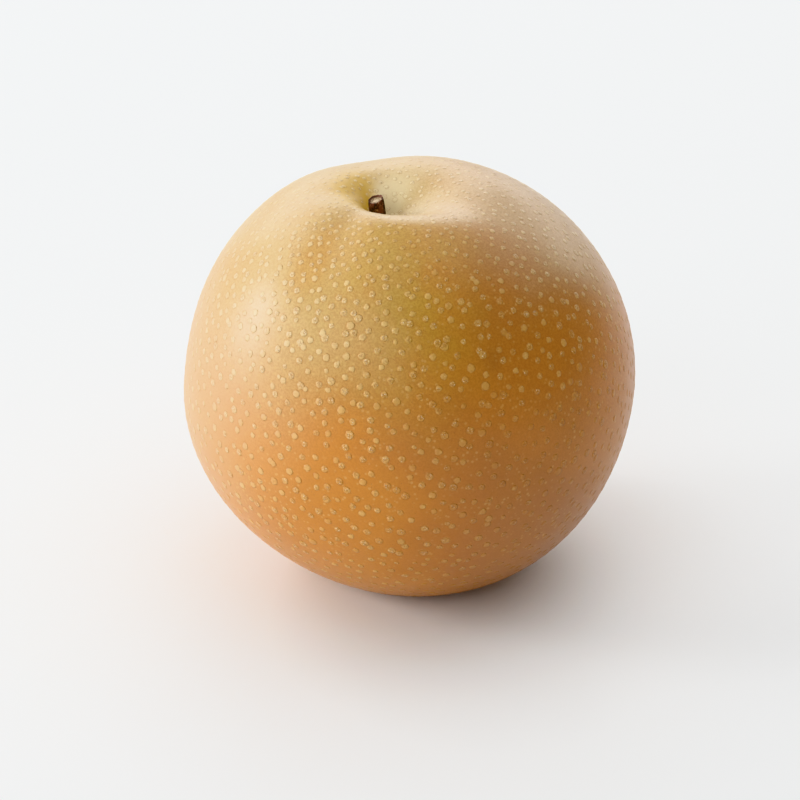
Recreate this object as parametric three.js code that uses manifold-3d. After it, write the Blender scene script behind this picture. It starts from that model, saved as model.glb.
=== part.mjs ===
import * as THREE from 'three';
import { mergeVertices } from 'three/addons/utils/BufferGeometryUtils.js';
import Module from 'manifold-3d';

// Nashi pear standing on the flat ring round its calyx basin, with its cut stalk upward.
// Millimetres, +Z up. The shape is worked out round the middle of the widest ring, and the
// pear is then set down with the middle of its box over the origin and its rest face at Z 0.

// Body, before the lobes, the hollow and the basin are worked in. The squareness is the
// exponent of the half meridian: 2 is an ellipse, more is squarer, less is more pointed.
const HALF_WIDTH = 46.0;
const UPPER_HALF = { height: 48.6, squareness: 2.0 };
const LOWER_HALF = { height: 45.05, squareness: 1.937 };

// Slow swellings round the girth: how many, their share of the radius and where they crest
const LOBES = { count: 3, share: 0.023, crest: -58 };

// The core leans, the stalk end and the calyx end sit off the middle, and the shoulder rises
const CORE_LEAN = 3.3;
const STALK_END = { x: -10.0, y: -5.5 };
const CALYX_END = { x: 4.3, y: 1.35 };
const SHOULDER_RISE = { x: 0.103, y: 0.06 };

// Hollow at the stalk end: a narrow funnel, wider on one side, in a broad shallow dish
const FUNNEL = { depth: 11.0, width: 6.4, power: 1.2, spread: 0.6, widestAt: 26 };
const DISH = { depth: 2.5, width: 15.0 };

// Shallow furrows that run from the hollow down over the shoulder, in degrees and mm
const FURROWS = [
  { azimuth: -120, halfWidth: 16, depth: 0.9, polar: 30, reach: 20 },
  { azimuth: -18, halfWidth: 26, depth: 1.0, polar: 24, reach: 22 },
  { azimuth: 102, halfWidth: 25, depth: 1.0, polar: 24, reach: 24 },
  { azimuth: 173, halfWidth: 18, depth: 0.49, polar: 26, reach: 24 },
];
const FURROW_START = 0.12;

// Basin at the calyx end, with five soft ribs, the corky ring scar and its pit
const BASIN = { depth: 8.0, width: 11.0, power: 2.2 };
const RIBS = { count: 5, height: 0.25, radius: 10.0, reach: 4.0 };
const SCAR_RING = { height: 0.4, radius: 4.2, reach: 1.1 };
const SCAR_PIT = { depth: 1.3, reach: 1.5 };
const REST_BELOW_MIDDLE = 40.8;

// Stalk: a short cut length with a flared root, a slight lean and a slanted end
const STALK_LENGTH = 10.4;
const STALK_TIP_RADIUS = 1.66;
const STALK_ROOT_RADIUS = 1.95;
const STALK_LEAN = { x: -1.0, y: 0.2 };
const STALK_SLANT = { x: 0.3, y: 0.14 };
const STALK_RIM_WIDTH = 0.4;
const STALK_END_SINK = 0.35;
const STALK_PITH_RADIUS = 0.6;
const STALK_PITH_RISE = 0.2;
const SOCKET_DEPTH = 2.0;
const SOCKET_GAP = 0.3;

// Facets
const SKIN_COLUMNS = 80;
const SKIN_ROWS = 56;
const ROW_GATHERING = 0.55;
const STALK_SIDES = 24;
const STALK_STEPS = 9;

const wasm = await Module();
wasm.setup();

const radians = THREE.MathUtils.degToRad;

// Smooth bump of height 1 at the centre, falling to about a third one reach away
function bell(value, centre, reach) {
  return Math.exp(-(((value - centre) / reach) ** 2));
}

// Signed angle from one azimuth to another, the short way round
function turnTo(from, to) {
  return Math.atan2(Math.sin(to - from), Math.cos(to - from));
}

function lobeFactor(azimuth, across) {
  return 1 + across ** 2 * LOBES.share * Math.cos(LOBES.count * (azimuth - radians(LOBES.crest)));
}

function furrowDepth(polar, azimuth) {
  let depth = 0;
  for (const furrow of FURROWS) {
    const aside = turnTo(radians(furrow.azimuth), azimuth);
    const beside = bell(aside, 0, radians(furrow.halfWidth));
    depth += furrow.depth * beside * bell(polar, radians(furrow.polar), radians(furrow.reach));
  }
  return depth * (1 - bell(Math.sin(polar), 0, FURROW_START));
}

// How far the stalk end is pressed in at a distance from its middle
function hollowDepth(distance, azimuth) {
  const width = FUNNEL.width * Math.exp(FUNNEL.spread * Math.cos(azimuth - radians(FUNNEL.widestAt)));
  const funnel = FUNNEL.depth * Math.exp(-((distance / width) ** FUNNEL.power));
  return funnel + DISH.depth * bell(distance, 0, DISH.width);
}

// How far the calyx end is pressed in at a distance from its middle
function basinDepth(distance, azimuth) {
  const bowl = BASIN.depth * Math.exp(-((distance / BASIN.width) ** BASIN.power));
  const ribs = RIBS.height * Math.cos(RIBS.count * azimuth) * bell(distance, RIBS.radius, RIBS.reach);
  const ring = SCAR_RING.height * bell(distance, SCAR_RING.radius, SCAR_RING.reach);
  return bowl + ribs - ring + SCAR_PIT.depth * bell(distance, 0, SCAR_PIT.reach);
}

// A point of the skin: polar angle from the stalk end, azimuth from +X. Its meridian is the
// superellipse (across / HALF_WIDTH)^n + (along / height)^n = radius^-n.
function skinPoint(polar, azimuth) {
  const across = Math.max(Math.sin(polar), 0);
  const along = Math.cos(polar);
  const upper = along >= 0;
  const half = upper ? UPPER_HALF : LOWER_HALF;
  const n = half.squareness;
  const slimness = (Math.abs(along) * HALF_WIDTH) / half.height;
  const radius = HALF_WIDTH * (across ** n + slimness ** n) ** (-1 / n);
  const distance = radius * across;
  const furrow = furrowDepth(polar, azimuth);
  const girth = distance * lobeFactor(azimuth, across);
  const end = upper ? STALK_END : CALYX_END;
  const pull = along ** 2;
  const x = (girth - furrow * across) * Math.cos(azimuth) + CORE_LEAN * along + end.x * pull;
  const y = (girth - furrow * across) * Math.sin(azimuth) + end.y * pull;
  const z = radius * along;
  if (!upper) {
    return new THREE.Vector3(x, y, z + basinDepth(distance, azimuth));
  }
  const rise = (SHOULDER_RISE.x * x + SHOULDER_RISE.y * y) * pull;
  return new THREE.Vector3(x, y, z - furrow * along - hollowDepth(distance, azimuth) + rise);
}

// Shared corners merged and flattened triangles left out, so that the surface is closed
function closedSurface(geometry) {
  geometry.deleteAttribute('normal');
  geometry.deleteAttribute('uv');
  const merged = mergeVertices(geometry);
  const corners = merged.index.array;
  const kept = [];
  for (let i = 0; i < corners.length; i += 3) {
    const [a, b, c] = [corners[i], corners[i + 1], corners[i + 2]];
    if (a !== b && b !== c && c !== a) {
      kept.push(a, b, c);
    }
  }
  merged.setIndex(kept);
  return merged;
}

function toSolid(geometry) {
  return new wasm.Manifold(new wasm.Mesh({
    numProp: 3,
    vertProperties: new Float32Array(geometry.attributes.position.array),
    triVerts: new Uint32Array(geometry.index.array),
  }));
}

function toGeometry(solid) {
  const mesh = solid.getMesh();
  const geometry = new THREE.BufferGeometry();
  geometry.setAttribute('position', new THREE.BufferAttribute(mesh.vertProperties, 3));
  geometry.setIndex(new THREE.BufferAttribute(mesh.triVerts, 1));
  geometry.computeVertexNormals();
  return geometry;
}

// The whole skin: a sphere whose points are moved to the fruit's own. Rows gather towards
// both ends, where the hollow and the basin bend most, and the base is pressed flat.
function skinGeometry() {
  const geometry = new THREE.SphereGeometry(1, SKIN_COLUMNS, SKIN_ROWS);
  geometry.rotateX(Math.PI / 2);
  const position = geometry.attributes.position;
  const direction = new THREE.Vector3();
  for (let i = 0; i < position.count; i += 1) {
    direction.fromBufferAttribute(position, i).normalize();
    const even = Math.acos(THREE.MathUtils.clamp(direction.z, -1, 1));
    const polar = even - (ROW_GATHERING * Math.sin(2 * even)) / 2;
    const point = skinPoint(polar, Math.atan2(direction.y, direction.x));
    position.setXYZ(i, point.x, point.y, Math.max(point.z, -REST_BELOW_MIDDLE));
  }
  return closedSurface(geometry);
}

// Outline of the stalk from the middle of its root to the middle of its cut end
function stalkProfile(gap) {
  const profile = [new THREE.Vector2(0, 0)];
  for (let step = 0; step <= STALK_STEPS; step += 1) {
    const share = step / STALK_STEPS;
    const flare = (STALK_ROOT_RADIUS - STALK_TIP_RADIUS) * (1 - share) ** 2;
    profile.push(new THREE.Vector2(STALK_TIP_RADIUS + flare + gap, share * STALK_LENGTH));
  }
  const floor = STALK_LENGTH - STALK_END_SINK;
  profile.push(new THREE.Vector2(STALK_TIP_RADIUS - STALK_RIM_WIDTH, STALK_LENGTH));
  profile.push(new THREE.Vector2(STALK_TIP_RADIUS - 1.5 * STALK_RIM_WIDTH, floor));
  profile.push(new THREE.Vector2(STALK_PITH_RADIUS, floor));
  profile.push(new THREE.Vector2(0, floor + STALK_PITH_RISE));
  return profile;
}

// The stalk stands on its flat root at the bottom of its socket. Higher parts lean over
// and the end is cut on a slant. With a gap it is the space that the socket leaves for it.
function stalkGeometry(gap) {
  const geometry = new THREE.LatheGeometry(stalkProfile(gap), STALK_SIDES);
  geometry.rotateX(Math.PI / 2);
  const root = skinPoint(0, 0);
  const position = geometry.attributes.position;
  for (let i = 0; i < position.count; i += 1) {
    const [x, y, z] = [position.getX(i), position.getY(i), position.getZ(i)];
    const share = Math.max(z, 0) / STALK_LENGTH;
    const slant = (STALK_SLANT.x * x + STALK_SLANT.y * y) * share ** 4;
    const lean = share ** 1.5;
    position.setXYZ(
      i,
      root.x + x + STALK_LEAN.x * lean,
      root.y + y + STALK_LEAN.y * lean,
      root.z - SOCKET_DEPTH + z + slant,
    );
  }
  return closedSurface(geometry);
}

function makeFruit(skin) {
  const socket = toSolid(stalkGeometry(SOCKET_GAP));
  const material = new THREE.MeshStandardMaterial({ color: 0xc68a45, roughness: 0.45, metalness: 0 });
  const fruit = new THREE.Mesh(toGeometry(toSolid(skin).subtract(socket)), material);
  fruit.name = 'fruit';
  return fruit;
}

function makeStalk() {
  const material = new THREE.MeshStandardMaterial({ color: 0x4a2e20, roughness: 0.85, metalness: 0 });
  const stalk = new THREE.Mesh(stalkGeometry(0), material);
  stalk.geometry.computeVertexNormals();
  stalk.name = 'stalk';
  return stalk;
}

const skin = skinGeometry();
skin.computeBoundingBox();
const middle = skin.boundingBox.getCenter(new THREE.Vector3());

const pear = new THREE.Group();
pear.add(makeFruit(skin), makeStalk());
pear.position.set(-middle.x, -middle.y, REST_BELOW_MIDDLE);

export default pear;
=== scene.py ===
# %% [markdown]
# # A nashi pear
# The pear stands stalk up on the flat ring round its calyx basin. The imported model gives
# its size and place. Here it gets a finer skin, the pale dots that every russet nashi
# carries, a woody cut stalk, and the light of a tall window on the left. Lengths in the
# formulas are millimetres, as a grower would measure them, and become metres in the mesh.

from math import cos, pi, radians, sin

import bpy
import numpy as np
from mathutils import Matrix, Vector


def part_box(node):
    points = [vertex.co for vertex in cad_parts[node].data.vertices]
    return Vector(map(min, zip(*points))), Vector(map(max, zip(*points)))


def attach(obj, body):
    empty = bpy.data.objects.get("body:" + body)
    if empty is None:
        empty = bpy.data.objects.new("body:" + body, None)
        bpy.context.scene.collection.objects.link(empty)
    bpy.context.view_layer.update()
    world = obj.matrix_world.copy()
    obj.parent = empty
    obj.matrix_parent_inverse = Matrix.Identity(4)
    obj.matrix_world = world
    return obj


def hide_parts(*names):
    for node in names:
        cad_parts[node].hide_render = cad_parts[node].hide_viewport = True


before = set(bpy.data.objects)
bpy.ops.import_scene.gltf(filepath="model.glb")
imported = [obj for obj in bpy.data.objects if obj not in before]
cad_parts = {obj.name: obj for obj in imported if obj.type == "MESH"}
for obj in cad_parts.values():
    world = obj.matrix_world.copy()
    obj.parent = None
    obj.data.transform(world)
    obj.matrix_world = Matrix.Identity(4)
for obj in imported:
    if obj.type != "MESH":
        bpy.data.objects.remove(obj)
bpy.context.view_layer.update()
MM = 0.001
print("nodes:", sorted(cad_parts))

# %% [markdown]
# ## The skin's shape
# A nashi is a slightly flattened ball, a little fuller towards the stalk end. It could be
# a sculpted sphere, but a sculpted shape can't be read or changed later. So it is a
# formula: half an ellipse or so above the widest ring and another below it, turned round
# an axis that leans a little. The two angles of the formula are the polar angle, from the
# stalk end down to the calyx end, and the azimuth round the girth.

# %% Sizes of the body, in millimetres
HALF_WIDTH = 46.0
UPPER_HEIGHT, UPPER_SQUARENESS = 48.6, 2.0
LOWER_HEIGHT, LOWER_SQUARENESS = 45.05, 1.937
CORE_LEAN = 3.3
STALK_END = (-10.0, -5.5)
CALYX_END = (4.3, 1.35)
SHOULDER_RISE = (0.103, 0.06)
LOBE_COUNT, LOBE_SHARE, LOBE_CREST = 3, 0.023, radians(-58)
REST_BELOW_MIDDLE = 40.8


def bell(value, centre, reach):
    """Smooth bump: 1 at the centre, about a third one reach away, then nothing."""
    return np.exp(-(((value - centre) / reach) ** 2))


# %% [markdown]
# The stalk end is pressed in twice: a narrow funnel that is steep in front and opens to
# the right and back, and a broad shallow dish round it. The calyx end has a bowl with
# five soft ribs, one for each cell of the core, and the corky ring that the flower left.
# Four shallow furrows run out of the hollow over the shoulder.

# %% Hollow, basin and furrows
FUNNEL_DEPTH, FUNNEL_WIDTH, FUNNEL_POWER = 11.0, 6.4, 1.2
FUNNEL_SPREAD, FUNNEL_WIDEST_AT = 0.6, radians(26)
DISH_DEPTH, DISH_WIDTH = 2.5, 15.0
BASIN_DEPTH, BASIN_WIDTH, BASIN_POWER = 8.0, 11.0, 2.2
RIB_COUNT, RIB_HEIGHT, RIB_RADIUS, RIB_REACH = 5, 0.25, 10.0, 4.0
RING_HEIGHT, RING_RADIUS, RING_REACH = 0.4, 4.2, 1.1
PIT_DEPTH, PIT_REACH = 1.3, 1.5
# azimuth and half width in degrees, depth, then the polar angle of the deepest place and
# the reach along the meridian in degrees
FURROWS = [(-120, 16, 0.9, 30, 20), (-18, 26, 1.0, 24, 22), (102, 25, 1.0, 24, 24), (173, 18, 0.49, 26, 24)]
FURROW_START = 0.12


def funnel_share(distance, azimuth):
    """How deep in the funnel, 0 to 1: a bell of the distance, stretched towards one azimuth."""
    width = FUNNEL_WIDTH * np.exp(FUNNEL_SPREAD * np.cos(azimuth - FUNNEL_WIDEST_AT))
    return np.exp(-((distance / width) ** FUNNEL_POWER))


def hollow_depth(distance, azimuth):
    """Funnel plus dish, both deepest on the axis."""
    return FUNNEL_DEPTH * funnel_share(distance, azimuth) + DISH_DEPTH * bell(distance, 0, DISH_WIDTH)


def basin_depth(distance, azimuth):
    """Bowl, plus a wave of five ribs on its slope, less the ring scar, plus the pit."""
    bowl = BASIN_DEPTH * np.exp(-((distance / BASIN_WIDTH) ** BASIN_POWER))
    ribs = RIB_HEIGHT * np.cos(RIB_COUNT * azimuth) * bell(distance, RIB_RADIUS, RIB_REACH)
    ring = RING_HEIGHT * bell(distance, RING_RADIUS, RING_REACH)
    return bowl + ribs - ring + PIT_DEPTH * bell(distance, 0, PIT_REACH)


def furrow_depth(polar, azimuth):
    """Sum over the furrows of a bell across it times a bell along it, none on the axis."""
    depth = np.zeros(np.broadcast(polar, azimuth).shape)
    for at, half_width, deep, polar_at, reach in FURROWS:
        aside = np.angle(np.exp(1j * (azimuth - radians(at))))
        across = bell(aside, 0, radians(half_width))
        depth += deep * across * bell(polar, radians(polar_at), radians(reach))
    return depth * (1 - bell(np.sin(polar), 0, FURROW_START))


# %% [markdown]
# All of this is one function of the two angles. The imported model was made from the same
# formula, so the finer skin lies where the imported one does.

# %% The whole skin as one formula
def skin_point(polar, azimuth):
    """Point of the skin. The meridian is (across / width)^n + (along / height)^n = radius^-n.
    The radius is then swelled by the lobes, the axis leans towards both ends, and the
    hollow, the basin and the furrows are taken off."""
    across, along = np.maximum(np.sin(polar), 0), np.cos(polar)
    upper = along >= 0
    height = np.where(upper, UPPER_HEIGHT, LOWER_HEIGHT)
    n = np.where(upper, UPPER_SQUARENESS, LOWER_SQUARENESS)
    radius = HALF_WIDTH * (across**n + (np.abs(along) * HALF_WIDTH / height) ** n) ** (-1 / n)
    distance = radius * across
    furrow = furrow_depth(polar, azimuth)
    swell = 1 + across**2 * LOBE_SHARE * np.cos(LOBE_COUNT * (azimuth - LOBE_CREST))
    girth = distance * swell - furrow * across
    pull = along**2
    end_x, end_y = (np.where(upper, *both) for both in zip(STALK_END, CALYX_END))
    x = girth * np.cos(azimuth) + CORE_LEAN * along + end_x * pull
    y = girth * np.sin(azimuth) + end_y * pull
    rise = (SHOULDER_RISE[0] * x + SHOULDER_RISE[1] * y) * pull
    top = radius * along - furrow * along - hollow_depth(distance, azimuth) + rise
    bottom = radius * along + basin_depth(distance, azimuth)
    z = np.maximum(np.where(upper, top, bottom), -REST_BELOW_MIDDLE)
    return np.stack([x, y, z], -1), distance


# %% [markdown]
# ## From formula to mesh
# Every piece here is a list of points and a list of faces. One helper turns the lists
# into an object, and gives it a map of its own, which the export needs to bake colours.

# %% Helper: an object from points and faces
def surface(name, points, corners, sizes, corner_map):
    """points are in metres; corners numbers the points of one face after the other, sizes
    says how many each face has, and corner_map gives every corner's place on the map."""
    mesh = bpy.data.meshes.new(name)
    mesh.vertices.add(len(points))
    mesh.vertices.foreach_set("co", points.astype(np.float32).ravel())
    mesh.loops.add(len(corners))
    mesh.loops.foreach_set("vertex_index", corners.astype(np.int32))
    mesh.polygons.add(len(sizes))
    mesh.polygons.foreach_set("loop_start", (np.cumsum(sizes) - sizes).astype(np.int32))
    mesh.update(calc_edges=True)
    mesh.shade_smooth()
    layer = mesh.uv_layers.new(name="OFBake")
    layer.data.foreach_set("uv", corner_map.astype(np.float32).ravel())
    made = bpy.data.objects.new(name, mesh)
    bpy.context.collection.objects.link(made)
    print(f"{name}: {len(points)} points, {int((sizes - 2).sum())} triangles")
    return made


# %% [markdown]
# The skin and the stalk are both rows of points round an axis. Rows run from one end to
# the other, and each end is one point, so the surface is closed. On the map, across is
# the way round and up is the length along the meridian, with the seam at the back.

# %% Helper: a closed surface from rows of points
def closed_surface(name, rows, ends, across_map, up_map):
    """Object whose faces join each row to the next and wrap round, with a fan at each end.
    rows is rows x columns x 3 in metres, ends the two end points; the maps are 0 to 1."""
    count, columns = rows.shape[:2]
    row, column = np.meshgrid(np.arange(count - 1), np.arange(columns), indexing="ij")
    beside = (column + 1) % columns
    quads = np.stack([row * columns + column, (row + 1) * columns + column,
                      (row + 1) * columns + beside, row * columns + beside], -1)
    around = np.arange(columns)
    after = (around + 1) % columns
    first, last = (np.full(columns, count * columns + end) for end in (0, 1))
    last_row = (count - 1) * columns
    fans = np.stack([[first, around, after], [last, last_row + after, last_row + around]])
    corners = np.concatenate([quads.ravel(), fans.transpose(0, 2, 1).ravel()])
    sizes = np.repeat([4, 3], [quads.size // 4, fans.size // 3])

    left, right = across_map[:-1], across_map[1:]
    middle = (left + right) / 2
    quad_map = np.stack([
        np.stack([left[column], left[column], right[column], right[column]], -1),
        np.stack([up_map[row], up_map[row + 1], up_map[row + 1], up_map[row]], -1)], -1)
    fan_across = np.stack([[middle, left, right], [middle, right, left]]).transpose(0, 2, 1)
    fan_up = np.repeat([[1, up_map[0], up_map[0]], [0, up_map[-1], up_map[-1]]], columns, axis=0)
    fan_map = np.stack([fan_across.reshape(-1, 3), fan_up], -1)
    corner_map = np.concatenate([quad_map.reshape(-1, 2), fan_map.reshape(-1, 2)])
    return surface(name, np.concatenate([rows.reshape(-1, 3), ends]), corners, sizes, corner_map)


# %% [markdown]
# ## The skin's mesh
# Rows gather towards both ends, where the hollow and the basin bend most. The formula's
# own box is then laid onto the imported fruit's box, less the room that the dots on it
# need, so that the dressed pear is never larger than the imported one.

# %% The skin's mesh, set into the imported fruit's box
SKIN_COLUMNS, SKIN_ROWS = 400, 236
ROW_GATHERING = 0.5
SEAM_AT = radians(90)
DOT_ROOM = 0.07

even = pi * np.arange(1, SKIN_ROWS) / SKIN_ROWS
polar_rows = even - ROW_GATHERING * np.sin(2 * even) / 2
azimuth_columns = SEAM_AT + 2 * pi * np.arange(SKIN_COLUMNS) / SKIN_COLUMNS
polar_grid, azimuth_grid = np.meshgrid(polar_rows, azimuth_columns, indexing="ij")
skin_rows, skin_distance = skin_point(polar_grid, azimuth_grid)
skin_ends, _ = skin_point(np.array([0.0, pi]), np.zeros(2))

fruit_low, fruit_high = (np.array(corner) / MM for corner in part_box("fruit"))
fruit_low = fruit_low + [DOT_ROOM, DOT_ROOM, 0]
fruit_high = fruit_high - DOT_ROOM
own_low, own_high = skin_rows.min((0, 1)), skin_rows.max((0, 1))
fit = (fruit_high - fruit_low) / (own_high - own_low)


def in_place(points):
    """Formula point to a place in the model, in metres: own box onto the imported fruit's box."""
    return (fruit_low + (points - own_low) * fit) * MM


print("fit to the packed fruit:", fit.round(5))

# %% [markdown]
# Up the map goes the length along the meridian as measured on the mesh, so that a dot in
# the steep hollow isn't squeezed there.

# %% Skin object
steps = np.linalg.norm(np.diff(skin_rows, axis=0), axis=-1).mean(1)
along_map = 1 - (np.concatenate([[0], np.cumsum(steps)]) + steps[0]) / (steps.sum() + 2 * steps[0])
skin = closed_surface("skin_of_the_pear", in_place(skin_rows), in_place(skin_ends),
                      np.linspace(0, 1, SKIN_COLUMNS + 1), along_map)

# %% [markdown]
# ## Where the dots sit
# The pale dots are lenticels, the pores of the young skin, corked over. They lie evenly
# but not in rows, about 3 mm apart and 1.6 mm across at the girth, smaller and closer at
# both ends. A sunflower spiral spreads points evenly over a ball; shifting each one by
# chance hides the spiral. The count in each ring follows the spacing wanted there.

# %% Places and sizes of the lenticels
chance = np.random.default_rng(7)
GIRTH_SPACING, END_SPACING = 3.1, 1.9
GIRTH_DOT, END_DOT = 0.74, 0.44
JITTER, SIZE_SPREAD = 0.56, 0.11
# Each dot has this share of a square as wide as the spacing to itself
PACKING = 0.95
GOLDEN_TURN = pi * (3 - 5**0.5)


def end_share(polar):
    """0 at the girth, 1 at either end, where the dots crowd together."""
    return np.abs(np.cos(polar)) ** 4


table = np.linspace(0.02, pi - 0.02, 2000)
table_points, table_distance = skin_point(table, np.zeros(2000))
ring_length = 2 * pi * np.maximum(table_distance, 0.3)
meridian_step = np.gradient(np.linalg.norm(np.gradient(table_points, axis=0), axis=-1).cumsum())
spacing = GIRTH_SPACING + (END_SPACING - GIRTH_SPACING) * end_share(table)
per_step = ring_length * meridian_step / (spacing**2 * PACKING)
running = np.cumsum(per_step)
DOT_COUNT = int(running[-1])
dot_polar = np.interp(np.arange(DOT_COUNT) + 0.5, running, table)
dot_azimuth = (np.arange(DOT_COUNT) * GOLDEN_TURN) % (2 * pi)
dot_spacing = GIRTH_SPACING + (END_SPACING - GIRTH_SPACING) * end_share(dot_polar)
shift = chance.uniform(-0.5, 0.5, (2, DOT_COUNT)) * dot_spacing * JITTER
dot_polar = np.clip(dot_polar + shift[0] / HALF_WIDTH, 0.03, pi - 0.03)
dot_azimuth = dot_azimuth + shift[1] / (HALF_WIDTH * np.maximum(np.sin(dot_polar), 0.05))
dot_places = in_place(skin_point(dot_polar, dot_azimuth)[0])
dot_radius = GIRTH_DOT + (END_DOT - GIRTH_DOT) * end_share(dot_polar)
dot_radius = dot_radius * chance.normal(1, SIZE_SPREAD, DOT_COUNT).clip(0.6, 1.3)
dot_tone = chance.beta(2.2, 2.2, DOT_COUNT)
dot_crackle = chance.uniform(0, 1, DOT_COUNT)
print(f"{DOT_COUNT} lenticels, {2 * dot_radius.min():.2f} to {2 * dot_radius.max():.2f} mm across")

# %% [markdown]
# The material has to know, anywhere on the skin, which lenticels are near. Each face
# keeps the places and makes of the two nearest ones. The material then measures the
# true distance to them, so a dot stays round and crisp however close the camera comes,
# which points painted on the mesh couldn't do.

# %% Keep the two nearest lenticels on each face
def face_middles(mesh):
    """Middle of each face."""
    found = np.empty(len(mesh.polygons) * 3, np.float32)
    mesh.polygons.foreach_get("center", found)
    return found.reshape(-1, 3)


def two_nearest(points, places, block=6000):
    """Numbers of the two nearest places for each point, from squared distances in blocks."""
    nearest = np.empty((len(points), 2), int)
    places = places.astype(np.float32)
    for start in range(0, len(points), block):
        part = points[start:start + block]
        square = (places**2).sum(1) - 2 * part @ places.T
        order = np.arange(len(part))
        nearest[start:start + block, 0] = square.argmin(1)
        square[order, nearest[start:start + block, 0]] = 1e9
        nearest[start:start + block, 1] = square.argmin(1)
    return nearest


def keep(mesh, name, kind, domain, field, values):
    """Store one value for each face or point under a name that the material can read."""
    made = mesh.attributes.new(name, kind, domain)
    made.data.foreach_set(field, np.ascontiguousarray(values, np.float32).ravel())


near = two_nearest(face_middles(skin.data), dot_places)
dot_make = np.stack([dot_radius * MM, dot_tone, dot_crackle], -1)
for which, letter in enumerate("ab"):
    keep(skin.data, f"dot_{letter}", "FLOAT_VECTOR", "FACE", "vector", dot_places[near[:, which]])
    keep(skin.data, f"make_{letter}", "FLOAT_VECTOR", "FACE", "vector", dot_make[near[:, which]])

# %% [markdown]
# The hollow, the basin and one furrow look different from the open skin. The formulas
# that shape them also say how strong each is at a point, from 0 to 1, and the material
# reads these numbers from the mesh. The hollow has a steep wall on the left and a wall at
# the back that the light reaches, told apart by their compass bearing round the stalk.

# %% Keep how deep a point lies in the hollow or the basin
BASIN_REACH, SCAR_RADIUS = 9.0, 5.2
STREAK_AT, STREAK_HALF_WIDTH = radians(-128), radians(10)
STREAK_POLAR, STREAK_REACH = radians(31), radians(13)


def past(value, edge, softness):
    """Soft step: 0 before the edge, 1 past it; a negative softness turns it round."""
    return 1 / (1 + np.exp((edge - value) / softness))


def skin_regions(polar, azimuth, distance):
    """Name and strength, 0 to 1, of each region of the skin that has a look of its own."""
    upper = polar < pi / 2
    funnel = np.where(upper, funnel_share(distance, azimuth), 0)
    way_round = np.degrees(azimuth) % 360
    aside = np.angle(np.exp(1j * (azimuth - STREAK_AT)))
    return {
        "funnel": funnel,
        "steep_wall": funnel * past(way_round, 110, 7) * past(way_round, 235, -12),
        "back_wall": funnel * past(way_round, 52, 8) * past(way_round, 110, -7),
        "basin": np.where(upper, 0, bell(distance, 0, BASIN_REACH)),
        "scar": np.where(upper, 0, past(distance, SCAR_RADIUS, -1 / 3)),
        "streak": bell(aside, 0, STREAK_HALF_WIDTH) * bell(polar, STREAK_POLAR, STREAK_REACH),
    }


# The same values at the two end points, the stalk end first
at_ends = {"funnel": (1, 0), "steep_wall": (0.5, 0), "back_wall": (0, 0),
           "basin": (0, 1), "scar": (0, 1), "streak": (0, 0)}
for name, values in skin_regions(polar_grid, azimuth_grid, skin_distance).items():
    keep(skin.data, name, "FLOAT", "POINT", "value", np.concatenate([values.ravel(), at_ends[name]]))
print("attributes:", [a.name for a in skin.data.attributes if not a.is_internal])

# %% [markdown]
# ## Domes on the lenticels
# Each lenticel stands a few hundredths of a millimetre proud of the skin, and its edge
# catches the light. The faces of the skin are too big to bend round it, so each lenticel
# is a small low dome laid on the slope of the skin, with its edge sunk under the surface.
# The slope comes from two short steps of the skin's own formula.

# %% Slope of the skin at each lenticel
def unit(vectors):
    """Vectors of length one."""
    return vectors / np.linalg.norm(vectors, axis=-1, keepdims=True)


def direction(polar_step, azimuth_step):
    """Which way the skin runs at each lenticel when both angles grow by a short step."""
    ahead, _ = skin_point(dot_polar + polar_step, dot_azimuth + azimuth_step)
    behind, _ = skin_point(dot_polar - polar_step, dot_azimuth - azimuth_step)
    return unit(ahead - behind)


STEP = 1e-3
down, aside = direction(STEP, 0), direction(0, STEP)
outward = unit(np.cross(down, aside))
aside = np.cross(outward, down)

# %% [markdown]
# One pattern serves every dome: a ring under the skin, a smaller ring near the top, and
# the top itself. The ring's radius wavers by chance, because no lenticel is a true
# circle. The dots round the rest ring, within about a millimetre of the table, stay flat.

# %% One pattern repeated at every lenticel
DOME_SIDES, DOME_HEIGHT, DOME_SINK = 10, 0.032, 0.02
TOP_RING, TOP_RING_HEIGHT = 0.78, 0.85
LOWEST_DOME, LOWER_AT_ENDS, WAVER = 1.2, 0.5, 0.06

domed = dot_places[:, 2] > LOWEST_DOME * MM
dome_count = int(domed.sum())
turn = 2 * pi * np.arange(DOME_SIDES) / DOME_SIDES
edge = dot_radius[domed, None] * chance.normal(1, WAVER, (dome_count, DOME_SIDES)).clip(0.85, 1.15)
reach = np.stack([edge, edge * TOP_RING], 1)
height = DOME_HEIGHT * (1 - LOWER_AT_ENDS * end_share(dot_polar[domed]))[:, None]
lift = np.stack([np.zeros_like(height) - DOME_SINK, height * TOP_RING_HEIGHT], 1)
rings = (dot_places[domed][:, None, None] + MM * (
    (reach * np.cos(turn))[..., None] * aside[domed][:, None, None]
    - (reach * np.sin(turn))[..., None] * down[domed][:, None, None]
    + (lift + np.zeros_like(reach))[..., None] * outward[domed][:, None, None]))
tops = dot_places[domed] + outward[domed] * height * MM
dome_points = np.concatenate([rings.reshape(dome_count, -1, 3), tops[:, None]], 1)
points_per_dome = 2 * DOME_SIDES + 1

# %% [markdown]
# The faces of one dome are numbered once and then repeated: a wall between the rings, a
# cap round the top, and a hidden bottom that closes it.

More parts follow.
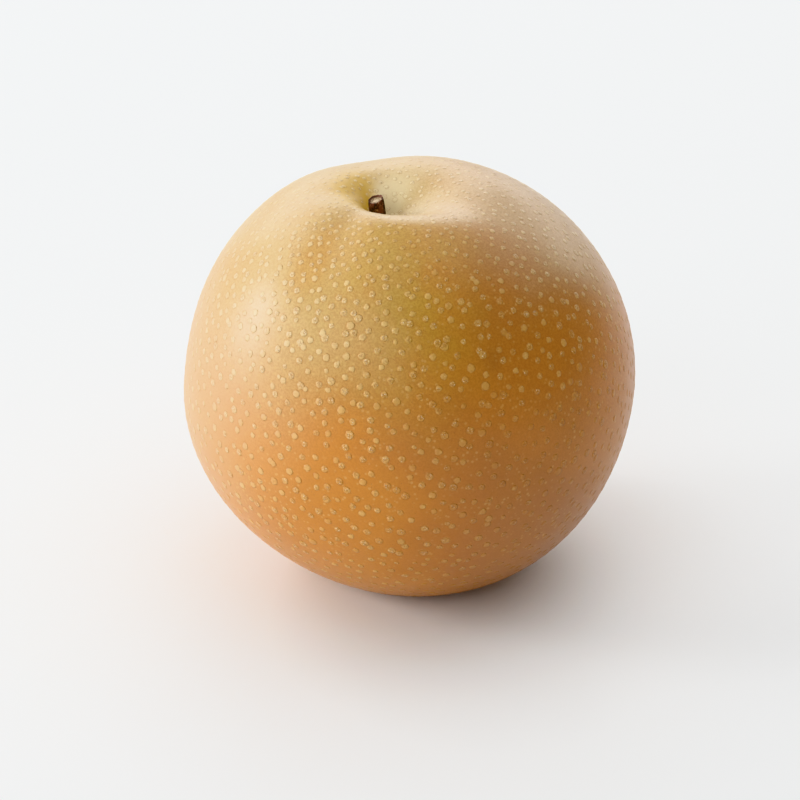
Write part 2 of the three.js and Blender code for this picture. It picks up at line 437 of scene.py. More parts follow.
# %% Faces of the domes
around = np.arange(DOME_SIDES)
after = (around + 1) % DOME_SIDES
wall = np.stack([around, after, after + DOME_SIDES, around + DOME_SIDES], -1)
cap = np.stack([around + DOME_SIDES, after + DOME_SIDES, np.full(DOME_SIDES, 2 * DOME_SIDES)], -1)
pattern = np.concatenate([wall.ravel(), cap.ravel(), around[::-1]])
pattern_sizes = np.repeat([4, 3, DOME_SIDES], [DOME_SIDES, DOME_SIDES, 1])
dome_corners = (np.arange(dome_count)[:, None] * points_per_dome + pattern).ravel()
dome_sizes = np.tile(pattern_sizes, dome_count)

# %% [markdown]
# The domes get a map of their own, one small square of it for each, so that every dome
# has its own colours there: the top on the left of the square, the hidden bottom on the
# right. They also carry the same values as the skin below them, so that one material
# covers both without a step.

# %% Map of the domes, and the object
TOP_ON_MAP, BOTTOM_ON_MAP = 0.34, 0.1

squares = int(np.ceil(dome_count**0.5))
circle = np.stack([np.cos(turn), np.sin(turn)], -1)
top_map = np.concatenate([circle, TOP_RING * circle, [[0, 0]]]) * TOP_ON_MAP + [0.37, 0.5]
bottom_map = circle * BOTTOM_ON_MAP + [0.87, 0.5]
one_map = np.concatenate([top_map[pattern[:-DOME_SIDES]], bottom_map[::-1]])
square_at = np.stack([np.arange(dome_count) % squares, np.arange(dome_count) // squares], -1)
domes = surface("lenticels", dome_points.reshape(-1, 3), dome_corners, dome_sizes,
                (square_at[:, None] + one_map) / squares)

# %% Values of the domes
own_near = two_nearest(dot_places[domed].astype(np.float32), dot_places)
for which, letter in enumerate("ab"):
    for name, values in (("dot", dot_places), ("make", dot_make)):
        keep(domes.data, f"{name}_{letter}", "FLOAT_VECTOR", "FACE", "vector",
             np.repeat(values[own_near[:, which]], len(pattern_sizes), axis=0))
_, dome_distance = skin_point(dot_polar, dot_azimuth)
for name, values in skin_regions(dot_polar, dot_azimuth, dome_distance).items():
    keep(domes.data, name, "FLOAT", "POINT", "value", np.repeat(values[domed], points_per_dome))
print(f"{dome_count} domes on {DOT_COUNT} lenticels")

# %% [markdown]
# ## Helpers for materials
# A material is a graph of nodes. One function adds any node, sets its options and links
# its sockets. Colours are given as the sRGB hex values that a colour picker shows; the
# renderer computes with light, so a second function turns them linear.

# %% Node and colour helpers
def node(tree, kind, *values, output=0, **settings):
    """Add a node and give back one of its outputs, or the node itself when output is None.
    values are numbers, colours or links for its sockets in their order, or one dictionary
    of them by socket; settings are the node's options."""
    made = tree.nodes.new("ShaderNode" + kind)
    for name, value in settings.items():
        setattr(made, name, value)
    by_socket = values and isinstance(values[0], dict)
    for socket, value in (values[0] if by_socket else dict(enumerate(values))).items():
        if isinstance(value, bpy.types.NodeSocket):
            tree.links.new(value, made.inputs[socket])
        else:
            made.inputs[socket].default_value = value
    return made if output is None else made.outputs[output]


def linear(hex_code):
    """sRGB hex to linear light: below 0.04 a straight line, above it a power of 2.4."""
    parts = np.array([int(hex_code[i:i + 2], 16) / 255 for i in (1, 3, 5)])
    light = np.where(parts <= 0.04045, parts / 12.92, ((parts + 0.055) / 1.055) ** 2.4)
    return (*light.tolist(), 1.0)


def new_material(name):
    """Empty material and its graph."""
    material = bpy.data.materials.new(name)
    material.use_nodes = True
    material.node_tree.nodes.clear()
    return material, material.node_tree


# %% [markdown]
# A few options come up again and again, so they have names. PRODUCT, SUM, DIFFERENCE,
# LARGER and PRODUCT_SUM, which is the first times the second plus the third, are sums on
# numbers. SOFT_STEP leads a number smoothly from one range to another, which is how every
# edge of a colour is softened. COLOURS mixes two colours, and SHARE, FIRST and SECOND are
# the sockets for it. ALL gives back every output of a node.

# %% Options that the materials share
PRODUCT, SUM, DIFFERENCE, LARGER, PRODUCT_SUM = (
    {"operation": name} for name in ("MULTIPLY", "ADD", "SUBTRACT", "MAXIMUM", "MULTIPLY_ADD"))
SOFT_STEP = {"interpolation_type": "SMOOTHSTEP"}
COLOURS = {"data_type": "RGBA", "output": 2}
SHARE, FIRST, SECOND = 0, 6, 7
ALL = slice(None)

# %% [markdown]
# ## Russet skin
# A russet skin is a thin layer of cork over a green one. Where the cork is thick it is
# orange brown, where it is thin the green shines through as olive, and both change slowly
# over centimetres. One even brown with dots would look moulded, so four tints are mixed
# by slow noise, by height and by side: orange on the left, olive up to the shoulder.

# %% Slow changes: noise, and directions that waver with it
BROAD_BLOTCH, SMALL_BLOTCH = 34 * MM, 11 * MM

russet_skin, tree = new_material("Russet nashi skin, satin cork over green")
place = node(tree, "TexCoord", output="Object")
skin_x, skin_y, skin_z = node(tree, "SeparateXYZ", place, output=ALL)
broad = node(tree, "TexNoise", {"Vector": place, "Scale": 1 / BROAD_BLOTCH})
blotch = node(tree, "TexNoise", {"Vector": place, "Scale": 1 / SMALL_BLOTCH,
                                 "Detail": 3.0, "Roughness": 0.55})
broad_x = node(tree, "Math", broad, 0.03, skin_x, **PRODUCT_SUM)
cloudy_x = node(tree, "Math", blotch, 0.02, skin_x, **PRODUCT_SUM)
cloudy_z = node(tree, "Math", broad, 0.03, skin_z, **PRODUCT_SUM)

# %% Four tints of cork
RUSSET, BROWN, ORANGE, OLIVE = (
    linear(tint) for tint in ("#CB8430", "#B87530", "#C48230", "#BA9C41"))

patches = node(tree, "MapRange", broad, 0.40, 0.62, **SOFT_STEP)
left = node(tree, "MapRange", broad_x, 0.030, -0.010, 0.0, 0.75, **SOFT_STEP)
up = node(tree, "MapRange", cloudy_z, 0.060, 0.094, 0.0, 0.8, **SOFT_STEP)
off_right = node(tree, "MapRange", cloudy_x, 0.032, 0.006, 0.25, 1.0, **SOFT_STEP)
high = node(tree, "Math", up, off_right, **PRODUCT)
spots = node(tree, "MapRange", blotch, 0.35, 0.75, 0.0, 0.35, **SOFT_STEP)
colour = node(tree, "Mix", {SHARE: patches, FIRST: RUSSET, SECOND: BROWN}, **COLOURS)
for share, tint in ((left, ORANGE), (high, OLIVE), (spots, ORANGE)):
    colour = node(tree, "Mix", {SHARE: share, FIRST: colour, SECOND: tint}, **COLOURS)

# %% [markdown]
# Right of the middle an upright strip about 3 cm wide is painted browner than the rest,
# as painted shade on the side turned from the window.

# %% Browner strip right of the middle, painted shade
PAINTED_SHADE_BROWN = linear("#A16A38")
from_left = node(tree, "MapRange", skin_x, 0.002, 0.018, 0.0, 0.45, **SOFT_STEP)
from_right = node(tree, "MapRange", skin_x, 0.044, 0.030, **SOFT_STEP)
shade_strip = node(tree, "Math", from_left, from_right, **PRODUCT)
colour = node(tree, "Mix", {SHARE: shade_strip, FIRST: colour, SECOND: PAINTED_SHADE_BROWN}, **COLOURS)

# %% [markdown]
# ## Painted sheen
# A pale, straw-coloured tint is painted where the window and the wall behind would give a
# broad sheen: on the left side, over the far shoulder, and on the lip of the hollow as a
# painted highlight. It thins out over about 4 cm. So it is a slope across the pear, more
# to the left and more towards the top, and the largest of that slope, the far shoulder and
# the lip. The steep wall of the hollow, in shade, has none.

# %% Where the painted sheen lies
PAINTED_SHEEN_BY_HEIGHT, PAINTED_SHEEN_BY_SIDE, PAINTED_SHEEN_START, PAINTED_SHEEN_WIDTH = 0.62, -1.08, -0.0415, 0.040

slope = node(tree, "Math", skin_z, PAINTED_SHEEN_BY_HEIGHT, PAINTED_SHEEN_START, **PRODUCT_SUM)
slope = node(tree, "Math", skin_x, PAINTED_SHEEN_BY_SIDE, slope, **PRODUCT_SUM)
slope = node(tree, "Math", slope, PAINTED_SHEEN_WIDTH, operation="DIVIDE")
uneven = node(tree, "Math", broad, 0.5, -0.25, **PRODUCT_SUM)
painted_sheen = node(tree, "Math", slope, uneven, **SUM)

cloudy_y = node(tree, "Math", broad, 0.04, skin_y, **PRODUCT_SUM)
cloudy_y = node(tree, "Math", blotch, 0.012, cloudy_y, **PRODUCT_SUM)
shoulder_z = node(tree, "Math", broad, 0.04, skin_z, **PRODUCT_SUM)
far = node(tree, "MapRange", cloudy_y, -0.012, 0.026, 0.0, 0.95, **SOFT_STEP)
shoulder = node(tree, "MapRange", shoulder_z, 0.060, 0.104, **SOFT_STEP)
far_shoulder_sheen = node(tree, "Math", far, shoulder, **PRODUCT)

# %% Painted pale sheen, less on the steep wall in shade
PAINTED_SHEEN, PAINTED_SHEEN_STRENGTH = linear("#CEB88E"), 0.60

funnel, steep_wall, back_wall, basin, scar, streak = (
    node(tree, "Attribute", attribute_name=name, output="Fac") for name in at_ends)
# The lip of the hollow and the far shoulder get the painted sheen as a painted highlight.
lip = node(tree, "MapRange", funnel, 0.005, 0.09, **SOFT_STEP)
for other in (far_shoulder_sheen, lip):
    painted_sheen = node(tree, "Math", painted_sheen, other, **LARGER)
painted_sheen = node(tree, "Math", steep_wall, -2.0, painted_sheen, **PRODUCT_SUM)
painted_sheen = node(tree, "MapRange", painted_sheen, 0.0, 1.0, **SOFT_STEP)
painted_sheen_share = node(tree, "Math", painted_sheen, PAINTED_SHEEN_STRENGTH, **PRODUCT)
colour = node(tree, "Mix", {SHARE: painted_sheen_share, FIRST: colour, SECOND: PAINTED_SHEEN}, **COLOURS)

# %% [markdown]
# In the front furrow, where two swellings meet, a deeper golden band is painted over the
# sheen as the furrow's shade.

# %% Painted shade in the front furrow
FURROW_SHADE = linear("#C8902E")
streak = node(tree, "MapRange", streak, 0.1, 0.9, 0.0, 0.36, **SOFT_STEP)
colour = node(tree, "Mix", {SHARE: streak, FIRST: colour, SECOND: FURROW_SHADE}, **COLOURS)

# %% [markdown]
# ## Grain of the skin
# Seen close, the cork breaks into grains a third of a millimetre wide, with much smaller
# dots between the lenticels, pale and dark. All are patterns in space, so they have no
# seam, and both kinds of dot come and go with the slow blotches.

# %% Grain of the cork
GRAIN_SHADOW = linear("#E9DAC6")
grain = node(tree, "TexNoise", {"Vector": place, "Scale": 1 / (0.42 * MM),
                                "Detail": 3.0, "Roughness": 0.6})
grainy = node(tree, "MapRange", grain, 0.38, 0.62, **SOFT_STEP)
more_on_top = node(tree, "MapRange", skin_z, 0.035, 0.065, 0.3, 0.7, **SOFT_STEP)
grainy = node(tree, "Math", grainy, more_on_top, **PRODUCT)
colour = node(tree, "Mix", {SHARE: grainy, FIRST: colour, SECOND: GRAIN_SHADOW},
              blend_type="MULTIPLY", **COLOURS)

# %% Small pale dots and dark specks between the lenticels
BUFF, SPECK = linear("#DDBC76"), linear("#8A5A2A")


def scattered(size_mm, edge, core, fewest, most):
    """Dots about size_mm apart: 1 in their middle, 0 past the edge, both as a share of the
    spacing, and weaker or stronger with the blotches."""
    away = node(tree, "TexVoronoi", {"Vector": place, "Scale": 1 / (size_mm * MM)})
    dots = node(tree, "MapRange", away, edge, core, **SOFT_STEP)
    some = node(tree, "MapRange", blotch, 0.35, 0.65, fewest, most, **SOFT_STEP)
    return node(tree, "Math", dots, some, **PRODUCT)


speck = scattered(0.95, 0.17, 0.08, 0.3, 1.0)
for dots, strength, tint in ((scattered(1.25, 0.30, 0.14, 0.2, 0.9), 0.38, BUFF),
                             (speck, 0.35, SPECK)):
    share = node(tree, "Math", dots, strength, **PRODUCT)
    colour = node(tree, "Mix", {SHARE: share, FIRST: colour, SECOND: tint}, **COLOURS)

# %% [markdown]
# One small bruise on the front, where a twig rubbed, is the kind of mark that every
# orchard fruit has. It is a round spot with a wavering edge.

# %% One bruise where a twig rubbed
BRUISE, BRUISE_AT = linear("#7E5226"), (0.0155, -0.0374, 0.0635)
BRUISE_EDGE, BRUISE_CORE, BRUISE_WAVER = 5.5 * MM, 2.5 * MM, 4 * MM

away = node(tree, "VectorMath", place, BRUISE_AT, operation="DISTANCE", output="Value")
away = node(tree, "Math", blotch, BRUISE_WAVER, away, **PRODUCT_SUM)
rubbed = node(tree, "MapRange", away, BRUISE_EDGE, BRUISE_CORE, 0.0, 0.4, **SOFT_STEP)
colour = node(tree, "Mix", {SHARE: rubbed, FIRST: colour, SECOND: BRUISE}, **COLOURS)

# %% [markdown]
# ## Hollow and basin
# Inside the hollow the skin is smooth. Its walls carry painted light and shade: the steep
# left wall, in shade, is painted olive yellow for the warm light bounced into it, and the
# back and right walls, which face the window, are painted a lit straw. A brown collar of
# cork sits at the stalk. The basin ends in the rough brown cork that the flower left when
# it dropped.

# %% Colour of both ends, with painted light and shade on the walls of the hollow
HOLLOW, LIT_BACK_WALL, LIT_RIGHT_WALL = linear("#CDA42C"), linear("#EBDCB2"), linear("#D3C08C")
BASIN, CORK = linear("#9A7434"), linear("#7A5230")

gentle_wall = node(tree, "Math", funnel, steep_wall, **DIFFERENCE)
for value, start, end, strength, tint in (
        (steep_wall, 0.0, 0.10, 0.9, HOLLOW), (back_wall, 0.04, 0.4, 0.7, LIT_BACK_WALL),
        (gentle_wall, 0.25, 0.75, 0.4, LIT_RIGHT_WALL), (funnel, 0.70, 0.95, 0.8, CORK)):
    share = node(tree, "MapRange", value, start, end, 0.0, strength, **SOFT_STEP)
    colour = node(tree, "Mix", {SHARE: share, FIRST: colour, SECOND: tint}, **COLOURS)
bowl = node(tree, "Math", basin, 0.45, **PRODUCT)
broken_cork = node(tree, "MapRange", grain, 0.3, 0.7, 0.6, 1.0, **SOFT_STEP)
cork_scar = node(tree, "Math", scar, broken_cork, **PRODUCT)
for share, tint in ((bowl, BASIN), (cork_scar, CORK)):
    colour = node(tree, "Mix", {SHARE: share, FIRST: colour, SECOND: tint}, **COLOURS)

# %% [markdown]
# ## Lenticels in the skin
# A dot is a pale disc with a soft, uneven edge and a browner rim, which is partly painted
# shade round its raised edge. Its middle is cork that has cracked as the fruit swelled:
# light flecks round a darker core. Fruit from the same tree has both smooth and cracked
# dots, so each dot brings its own share of cracking and its own tone. All of it follows
# from one number: the distance to the middle of the dot, as a share of its radius,
# measured from a place that noise has pushed a little.

# %% A place pushed a little by noise
PUSH = 0.75 * MM
push = node(tree, "TexNoise", {"Vector": place, "Scale": 1 / (0.55 * MM)}, output="Color")
push = node(tree, "VectorMath", push, (0.5, 0.5, 0.5), operation="SUBTRACT")
pushed = node(tree, "VectorMath", push, (PUSH, PUSH, PUSH), place, operation="MULTIPLY_ADD")


# %% One lenticel from the distance to its place
def lenticel(letter):
    """Disc, cracked band, dark core, raised part and rim of a near lenticel, each 0 to 1:
    soft steps of the distance to its middle as a share of its radius."""
    spot, make = (node(tree, "Attribute", attribute_name=f"{name}_{letter}", output="Vector")
                  for name in ("dot", "make"))
    radius, tone, crackle = node(tree, "SeparateXYZ", make, output=ALL)
    away = node(tree, "VectorMath", pushed, spot, operation="DISTANCE", output="Value")
    share = node(tree, "Math", away, radius, operation="DIVIDE")
    toned = node(tree, "MapRange", tone, 0.0, 1.0, 0.45, 1.0, **SOFT_STEP)
    cracked = node(tree, "MapRange", crackle, 0.20, 0.50, **SOFT_STEP)
    disc, band, core, raised, rim, rim_edge = (
        node(tree, "MapRange", share, start, end, **SOFT_STEP)
        for start, end in ((1.12, 0.62), (0.85, 0.55), (0.34, 0.12), (1.02, 0.74),
                           (0.86, 1.02), (1.30, 1.06)))
    disc, band, core, rim = (
        node(tree, "Math", part, other, **PRODUCT)
        for part, other in ((disc, toned), (band, cracked), (core, cracked), (rim, rim_edge)))
    return disc, band, core, raised, rim


disc, band, core, raised, rim = (
    node(tree, "Math", one, other, **LARGER)
    for one, other in zip(lenticel("a"), lenticel("b")))

# %% Flecks and cracks in the band
fleck_cells = node(tree, "TexVoronoi", {"Vector": place, "Scale": 1 / (0.42 * MM)})
crack_noise = node(tree, "TexNoise", {"Vector": place, "Scale": 1 / (0.36 * MM), "Detail": 1.0})
fleck, crack = (
    node(tree, "Math", band, node(tree, "MapRange", *steps, **SOFT_STEP), **PRODUCT)
    for steps in ((fleck_cells, 0.36, 0.18), (crack_noise, 0.50, 0.40)))
broken = node(tree, "Math", crack, core, **LARGER)

# %% [markdown]
# The dots are laid over the colour from the rim inwards. They are clear on the left and
# on the shoulder and painted faint low on the right as painted shade, and where the
# painted sheen lies they are paler.

# %% Where the dots are clear, and how pale they are
BUFF_IN_PAINTED_SHEEN = linear("#F0E0B6")

off_scar = node(tree, "Math", 1.0, scar, **DIFFERENCE)
disc = node(tree, "Math", disc, off_scar, **PRODUCT)
# Fainter dots low on the right are painted shade.
left_side = node(tree, "MapRange", cloudy_x, 0.0, 0.034, 0.95, 0.28, **SOFT_STEP)
upper_side = node(tree, "MapRange", skin_z, 0.044, 0.064, 0.0, 0.9, **SOFT_STEP)
clear = node(tree, "Math", left_side, upper_side, **LARGER)
in_hollow = node(tree, "MapRange", funnel, 0.0, 0.1, 0.0, 0.6, **SOFT_STEP)
paler = node(tree, "Math", painted_sheen, in_hollow, **LARGER)
buff = node(tree, "Mix", {SHARE: paler, FIRST: BUFF, SECOND: BUFF_IN_PAINTED_SHEEN}, **COLOURS)

# %% Dots over the colour
# The browner rim is partly the dot's own colour and partly painted shade round its raised edge.
RIM, FLECK, CRACK = linear("#A9702E"), linear("#F6E8C8"), linear("#8F5518")

clear_disc = node(tree, "Math", disc, clear, **PRODUCT)
clear_fleck = node(tree, "Math", fleck, clear, **PRODUCT)
for part, strength, tint in ((rim, 0.34, RIM), (clear_disc, 0.52, buff),
                             (clear_fleck, 0.70, FLECK), (broken, 0.45, CRACK)):
    share = node(tree, "Math", part, strength, **PRODUCT)
    colour = node(tree, "Mix", {SHARE: share, FIRST: colour, SECOND: tint}, **COLOURS)

# %% [markdown]
# Relief finer than the mesh is a bump of less than a tenth of a millimetre: discs and
# flecks stand out, specks and cracks lie deeper, and the scar is rough. The finish is
# satin: the light spreads wide, under a thin coat of wax. Discs, the scar and the steep
# wall are duller.

# %% Relief of the skin
BUMP_DEPTH = 0.08 * MM

scar_noise = node(tree, "TexNoise", {"Vector": place, "Scale": 1 / (0.9 * MM),
                                     "Detail": 4.0, "Roughness": 0.65})
rough_scar = node(tree, "Math", scar, scar_noise, **PRODUCT)
relief = 0.0
for part, weight in ((raised, 0.4), (fleck, 0.5), (grain, 0.2), (speck, -0.35),
                     (broken, -0.3), (rough_scar, 2.5)):
    relief = node(tree, "Math", part, weight, relief, **PRODUCT_SUM)
bump = node(tree, "Bump", {"Height": relief, "Distance": BUMP_DEPTH, "Strength": 1.0})

# %% Finish of the skin
gloss = node(tree, "MapRange", blotch, 0.3, 0.7, 0.42, 0.50, **SOFT_STEP)
duller = node(tree, "Math", scar, steep_wall, **LARGER)
for part, weight in ((disc, 0.12), (duller, 0.3)):
    gloss = node(tree, "Math", part, weight, gloss, **PRODUCT_SUM)
satin = node(tree, "BsdfPrincipled", {
    "Base Color": colour, "Roughness": gloss, "Normal": bump, "IOR": 1.48,
    "Coat Weight": 0.42, "Coat Roughness": 0.31, "Coat IOR": 1.45})
node(tree, "OutputMaterial", satin, output=None)
for piece in (skin, domes):
    piece.data.materials.append(russet_skin)
    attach(piece, "root")
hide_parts("fruit")
print("skin material:", len(tree.nodes), "nodes")

# %% [markdown]
# ## The cut stalk
# The stalk is a short length of fruit wood, snipped when the pear was picked. Dark bark
# with shallow ridges runs up to a ragged rim, and inside it is a pale ring of wood and
# the pith. It is a profile carried round an axis: up the side, over the rim, down into
# the cut face and in to the middle. Ridges and rim are waves of the way round.

# %% Sizes of the stalk, in millimetres
STALK_LENGTH, SOCKET_DEPTH = 10.4, 2.0
TIP_RADIUS, ROOT_RADIUS = 1.66, 1.95
STALK_LEAN = (-1.0, 0.2)
STALK_SLANT = (0.3, 0.14)
CUT_SINK, RIM_WIDTH, RIM_SOFTNESS = 0.42, 0.34, 0.07
BARK_INSET, RIM_ROUNDING, RIM_INSET = 0.05, 0.10, 0.12
RIDGE_DEPTH, FINE_RIDGE_DEPTH, RAGGEDNESS = 0.075, 0.04, 0.16
PITH_RISE, PITH_REACH, FIBRE_DEPTH = 0.16, 0.3, 0.05
STALK_COLUMNS, SIDE_ROWS, CUT_ROWS = 120, 90, 26


def wave(angle, height, seed, count=9):
    """Uneven wave that closes on itself: a sum of a few cosines with chosen phases."""
    phases = np.random.default_rng(seed)
    total = np.zeros(np.broadcast(angle, height).shape)
    for turns in range(2, 2 + count):
        size = phases.normal() / turns**0.5
        phase = phases.uniform(0, 2 * pi)
        total += size * np.cos(turns * angle + phase + height * phases.normal())
    return total / count**0.5


def stalk_rows():
    """Rows of points: side rows from the root to the rim, then cut rows in to the middle."""
    way_round = 2 * pi * np.arange(STALK_COLUMNS) / STALK_COLUMNS
    side = np.linspace(0, 1, SIDE_ROWS)[:, None]
    flare = (ROOT_RADIUS - TIP_RADIUS) * (1 - side) ** 2
    ridge = RIDGE_DEPTH * wave(way_round[None], side * 2.2, 3)
    ridge = ridge + FINE_RIDGE_DEPTH * wave(way_round[None], side * 9, 4, 14)
    ragged = RAGGEDNESS * wave(way_round, np.zeros(1), 5, 16)
    side_radius = TIP_RADIUS - BARK_INSET + flare + ridge - RIM_ROUNDING * side**30
    side_height = STALK_LENGTH * side - RIM_INSET + ragged[None] * side**6
    inward = np.linspace(0, 1, CUT_ROWS)[1:-1, None]
    drop = 1 / (1 + np.exp(-(inward * TIP_RADIUS - RIM_WIDTH) / RIM_SOFTNESS))
    pith = bell(inward, 1.0, PITH_REACH)
    cut_radius = side_radius[-1] * (1 - inward)
    fibre = FIBRE_DEPTH * wave(way_round[None], inward * 14, 6, 16)
    cut_height = side_height[-1] - drop * (CUT_SINK + ragged) + PITH_RISE * pith
    cut_height = cut_height + fibre * drop * (1 - pith)
    radius = np.concatenate([side_radius, cut_radius])
    height = np.concatenate([side_height, cut_height])
    return radius, height, np.broadcast_to(way_round, radius.shape)


# %% [markdown]
# The straight stalk then leans a little, more towards its tip, and its end is cut on a
# slant. It stands on the bottom of the hollow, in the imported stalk's own socket.

# %% Stalk object
stalk_radius, stalk_height, stalk_turn = stalk_rows()
stalk_x = np.append(stalk_radius * np.cos(stalk_turn), [0, 0])
stalk_y = np.append(stalk_radius * np.sin(stalk_turn), [0, 0])
stalk_z = np.append(stalk_height, [0, stalk_height[-1].mean()])
share = np.clip(stalk_z / STALK_LENGTH, 0, 1)
slant = (STALK_SLANT[0] * stalk_x + STALK_SLANT[1] * stalk_y) * share**4
stalk_points = np.stack([stalk_x + STALK_LEAN[0] * share**1.5,
                         stalk_y + STALK_LEAN[1] * share**1.5,
                         stalk_z - SOCKET_DEPTH + slant], -1)
stalk_points = in_place(stalk_points + skin_ends[0])

inside = np.linspace(0, 1, CUT_ROWS)[1:-1]
along_stalk = np.concatenate([np.linspace(0.98, 0.2, SIDE_ROWS), 0.2 - 0.18 * inside])
side_and_cut = stalk_points[:-2].reshape(-1, STALK_COLUMNS, 3)[:, ::-1]
stalk = closed_surface("cut_stalk", side_and_cut, stalk_points[-2:],
                       np.linspace(0, 1, STALK_COLUMNS + 1), along_stalk)
cut_share = np.repeat(np.concatenate([np.zeros(SIDE_ROWS), inside]), STALK_COLUMNS)
keep(stalk.data, "cut", "FLOAT", "POINT", "value", np.append(cut_share, [0, 1]))
print("stalk reaches z", round(float(stalk_points[:, 2].max() / MM), 2), "mm")

# %% [markdown]
# Bark of a fruit stalk is dark brown with reddish flecks and a few pale pores, and quite
# dull. The cut shows a darker rim, straw-coloured wood and a pale pith that has dried and
# cracked. The streaks are noise drawn out along the stalk.

# %% Bark and cut wood
BARK, BARK_STREAK, BARK_FLECK, PORE = (
    linear(tint) for tint in ("#2E1D18", "#6E4437", "#96745E", "#C9A77E"))
CUT_WOOD, CUT_SHADOW, PITH = linear("#BFA989"), linear("#80654C"), linear("#D9C8A8")
LENGTHWISE = (1.0, 1.0, 0.35)

bark, tree = new_material("Fruit wood bark, dry and snipped")
place = node(tree, "TexCoord", output="Object")
drawn_out = node(tree, "Mapping", {"Vector": place, "Scale": LENGTHWISE})
streaks = node(tree, "TexNoise", {"Vector": drawn_out, "Scale": 1 / (0.9 * MM),
                                  "Detail": 4.0, "Roughness": 0.65})
fine = node(tree, "TexNoise", {"Vector": place, "Scale": 1 / (0.3 * MM),
                               "Detail": 3.0, "Roughness": 0.6})
pores = node(tree, "TexVoronoi", {"Vector": place, "Scale": 1 / (1.0 * MM)})
cut = node(tree, "Attribute", attribute_name="cut", output="Fac")
shadow = node(tree, "MapRange", fine, 0.4, 0.62, **SOFT_STEP)
cut_face = node(tree, "Mix", {SHARE: shadow, FIRST: CUT_WOOD, SECOND: CUT_SHADOW}, **COLOURS)
wood = BARK
for value, start, end, strength, tint in (
        (streaks, 0.40, 0.60, 1.0, BARK_STREAK), (fine, 0.54, 0.68, 0.7, BARK_FLECK),
        (pores, 0.18, 0.10, 0.7, PORE), (cut, 0.16, 0.30, 1.0, cut_face),
        (cut, 0.60, 0.70, 0.7, PITH)):
    share = node(tree, "MapRange", value, start, end, 0.0, strength, **SOFT_STEP)
    wood = node(tree, "Mix", {SHARE: share, FIRST: wood, SECOND: tint}, **COLOURS)
relief = node(tree, "Math", streaks, 0.7, **PRODUCT)
relief = node(tree, "Math", fine, 0.4, relief, **PRODUCT_SUM)
bump = node(tree, "Bump", {"Height": relief, "Distance": 0.22 * MM})
dull = node(tree, "BsdfPrincipled", {"Base Color": wood, "Normal": bump, "Roughness": 0.82,
                                     "IOR": 1.5})
node(tree, "OutputMaterial", dull, output=None)
stalk.data.materials.append(bark)
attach(stalk, "root")
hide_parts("stalk")

# %% [markdown]
# ## Table and light
# The pear stands on a plain white table. A tall window on the left, a little behind,
# gives the broad soft highlight and the shadow that falls to the front and right. A pale
# wall behind answers with a cooler rim of light, and the room fills the rest.

# %% Plain pale floor
WIDE = 3
floor_mesh = bpy.data.meshes.new("table")
floor_mesh.from_pydata([(-WIDE, -WIDE, 0), (WIDE, -WIDE, 0), (WIDE, WIDE, 0), (-WIDE, WIDE, 0)],
                       [], [(0, 1, 2, 3)])
floor = bpy.data.objects.new("table", floor_mesh)
bpy.context.collection.objects.link(floor)
table_top, tree = new_material("Painted white table top")
paint = node(tree, "BsdfPrincipled", {"Base Color": (0.84, 0.865, 0.885, 1), "Roughness": 0.6})
node(tree, "OutputMaterial", paint, output=None)
floor_mesh.materials.append(table_top)

# %% [markdown]
# Each light is a rectangle that faces the pear, named after what it stands for in such a
# room: the window and its upper panes, the pale wall and bright corner behind, light from
# the sky, and a white card and the ceiling that fill the shadows.

# %% Soft lights
LOOK_AT = Vector((0, 0, 0.04))


def soft_light(name, azimuth, elevation, away, size, watts, tint):
    """Rectangular light, width and height in metres, that faces the pear from a direction."""
    round_at, up_at = radians(azimuth), radians(elevation)
    flat = away * cos(up_at)
    at = LOOK_AT + Vector((flat * cos(round_at), flat * sin(round_at), away * sin(up_at)))
    data = bpy.data.lights.new(name, "AREA")
    data.shape, data.size, data.size_y = "RECTANGLE", *size
    data.energy, data.color = watts, linear(tint)[:3]
    lamp = bpy.data.objects.new(name, data)
    bpy.context.collection.objects.link(lamp)
    lamp.location = at
    lamp.rotation_mode = "QUATERNION"
    lamp.rotation_quaternion = (LOOK_AT - at).to_track_quat("-Z", "Y")


soft_light("window", 177, 12, 1.2, (0.38, 0.56), 11.2, "#FFFDFA")
soft_light("window_upper_panes", 152, 38, 1.2, (0.70, 0.50), 2.4, "#FFFEFC")
soft_light("pale_wall", 106, 24, 1.25, (1.20, 0.70), 6.6, "#FDFEFF")
soft_light("bright_corner", 62, 14, 1.25, (0.80, 0.40), 2.4, "#FFFEFC")
soft_light("skylight", 40, 58, 1.25, (1.20, 1.20), 4.6, "#FFFEFC")
soft_light("white_card", -122, 26, 1.3, (1.10, 0.90), 5.4, "#FFFFFF")
soft_light("ceiling", -90, 82, 1.2, (1.00, 1.00), 2.6, "#FFFFFF")

# %% [markdown]
# The rest of the room is an even glow, brighter on the window's side and warmer on the
# other. The view transform keeps the colours true and rolls off only the whites.

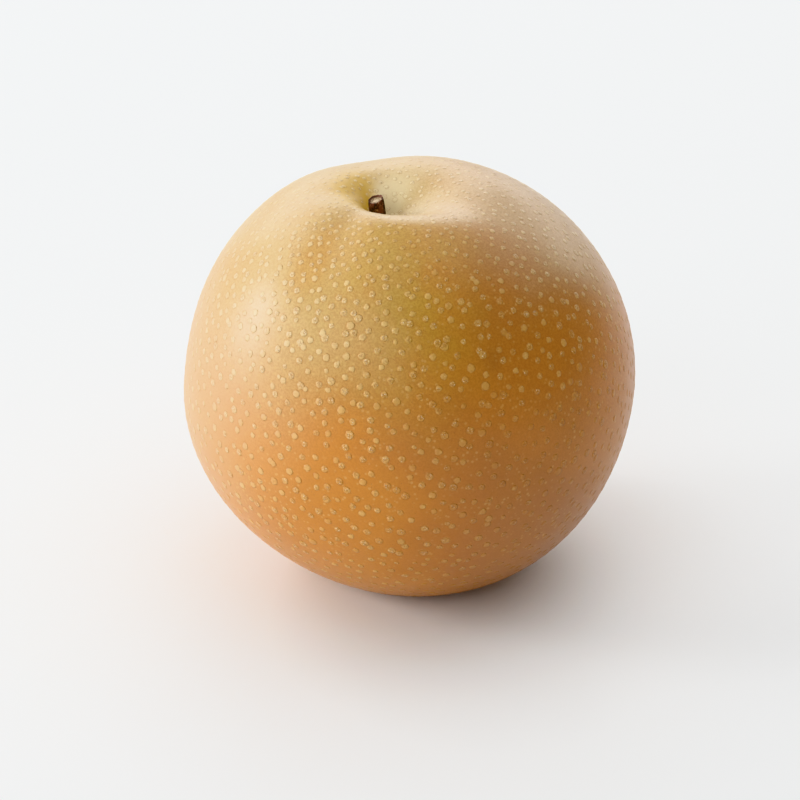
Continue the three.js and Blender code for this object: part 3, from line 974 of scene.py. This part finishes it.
# %% Room
WHITE, WARM_WHITE = (1, 1, 1, 1), linear("#FFF4E2")
room = bpy.data.worlds.new("room")
bpy.context.scene.world = room
room.use_nodes = True
tree = room.node_tree
glow = tree.nodes["Background"]
all_round = node(tree, "TexCoord", output="Generated")
room_x = node(tree, "SeparateXYZ", all_round, output="X")
warmer = node(tree, "MapRange", room_x, -0.2, 0.8, **SOFT_STEP)
brighter = node(tree, "MapRange", room_x, 0.7, -0.7, 0.25, 0.46, **SOFT_STEP)
tint = node(tree, "Mix", {SHARE: warmer, FIRST: WHITE, SECOND: WARM_WHITE}, **COLOURS)
tree.links.new(tint, glow.inputs["Color"])
tree.links.new(brighter, glow.inputs["Strength"])
bpy.context.scene.view_settings.view_transform = "Khronos PBR Neutral"

# %% [markdown]
# ## Camera
# The camera looks down 27 degrees from the front, 65 cm away, with a short telephoto
# lens. Its aim is moved a little off the pear's middle, so that the pear sits in the
# frame as it does in the photograph.

# %% Camera
CAMERA_DOWN, CAMERA_AWAY = radians(27), 0.65
PIXELS_PER_MM, FRAME_PIXELS, SENSOR = 4.8927, 800, 36.0
MIDDLE_AT = (414.66, 378.88)

back = Vector((0, -cos(CAMERA_DOWN), sin(CAMERA_DOWN)))
up = Vector((0, sin(CAMERA_DOWN), cos(CAMERA_DOWN)))
pear_middle = Vector(((fruit_low - own_low) * MM).tolist())
off_right, off_down = (
    (pixel - FRAME_PIXELS / 2) / PIXELS_PER_MM * MM for pixel in MIDDLE_AT)
aim = pear_middle - Vector((off_right, 0, 0)) + up * off_down
lens = bpy.data.cameras.new("camera")
lens.sensor_width = SENSOR
lens.lens = PIXELS_PER_MM * CAMERA_AWAY / MM / FRAME_PIXELS * SENSOR
camera = bpy.data.objects.new("camera", lens)
bpy.context.collection.objects.link(camera)
camera.location = aim + back * CAMERA_AWAY
camera.rotation_mode = "QUATERNION"
camera.rotation_quaternion = (-back).to_track_quat("-Z", "Y")
bpy.context.scene.camera = camera
print("lens:", round(lens.lens, 1), "mm")
print("middle of the pear, mm:", [round(v / MM, 2) for v in pear_middle])
